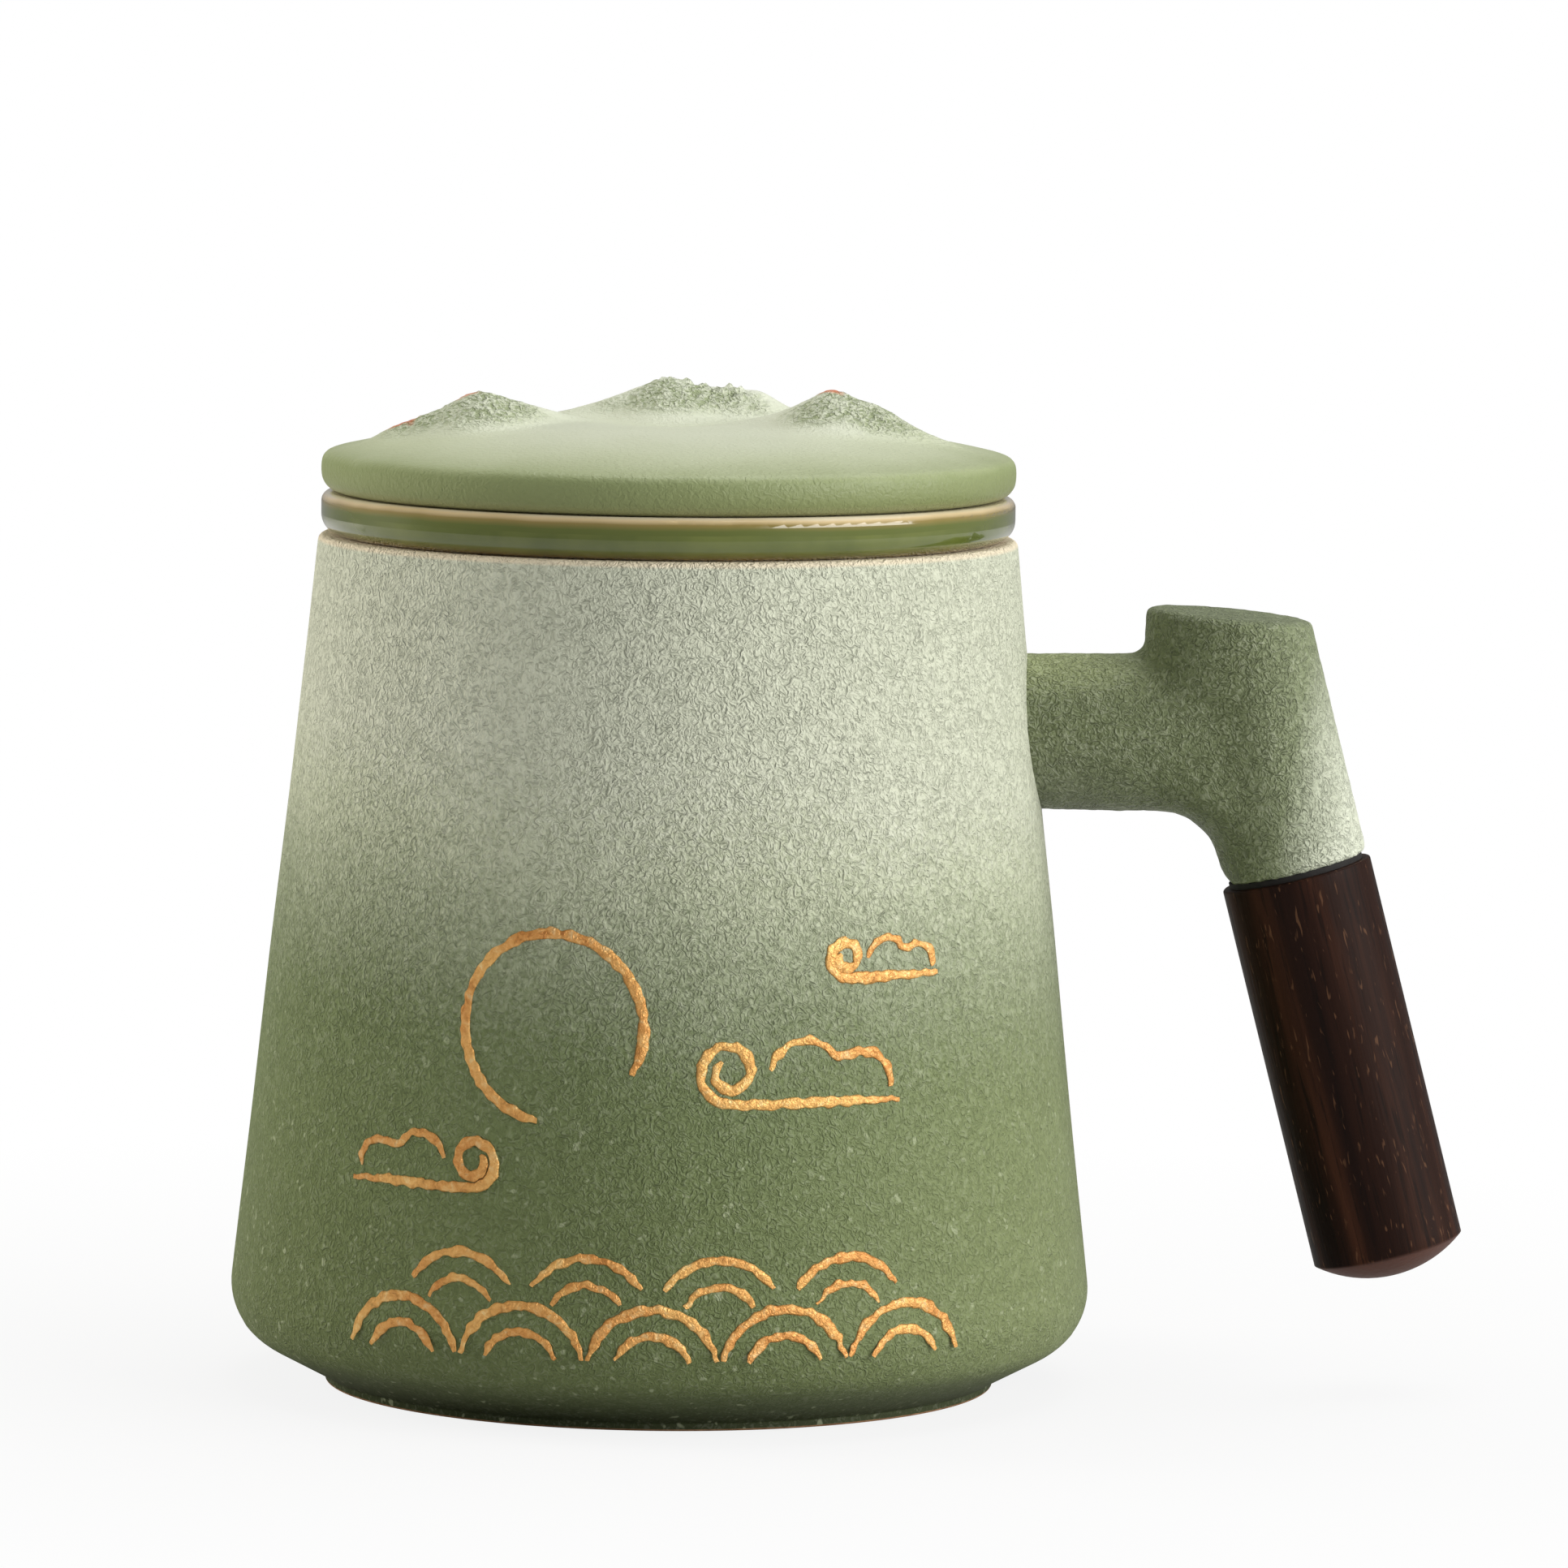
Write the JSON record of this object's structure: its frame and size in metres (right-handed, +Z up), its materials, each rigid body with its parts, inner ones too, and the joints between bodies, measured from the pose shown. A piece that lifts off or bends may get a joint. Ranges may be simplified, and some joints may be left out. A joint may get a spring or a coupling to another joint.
{
  "type": "lidded tea mug with infuser",
  "caption": "Stoneware tea mug with a lift-off mountain lid, a lift-out strainer cup and a side handle with a dark wooden grip.",
  "frame": {"origin": "centre of the foot ring on the table", "axes": "+Z up along the mug's axis, +X towards the handle, -Y towards the viewer"},
  "size_m": [0.1559, 0.1088, 0.1265],
  "materials": {
    "matte_glaze": "matte ombre from olive green to pale sage, orange-peel texture",
    "gloss_glaze": "glossy olive glaze, honey edges",
    "lid_glaze": "satin",
    "washer_rubber": "matte",
    "dark_wood": "oiled satin",
    "insert_brass": "machined",
    "stud_steel": "machined",
    "epoxy": "cast"
  },
  "bodies": {
    "mug": {"mug_body": "matte_glaze", "handle_arm": "matte_glaze", "grip_washer": "washer_rubber", "wood_grip": "dark_wood", "grip_insert": "insert_brass", "grip_stud": "stud_steel", "stud_potting": "epoxy"},
    "infuser_cup": {"infuser": "gloss_glaze"},
    "lid_cover": {"lid": "lid_glaze"}
  },
  "joints": [
    {"name": "infuser_lift", "type": "slide", "parent": "mug", "child": "infuser_cup", "axis": [0, 0, 1], "range_m": [0, 0.085]},
    {"name": "lid_lift", "type": "slide", "parent": "infuser_cup", "child": "lid_cover", "axis": [0, 0, 1], "range_m": [0, 0.04]}
  ]
}
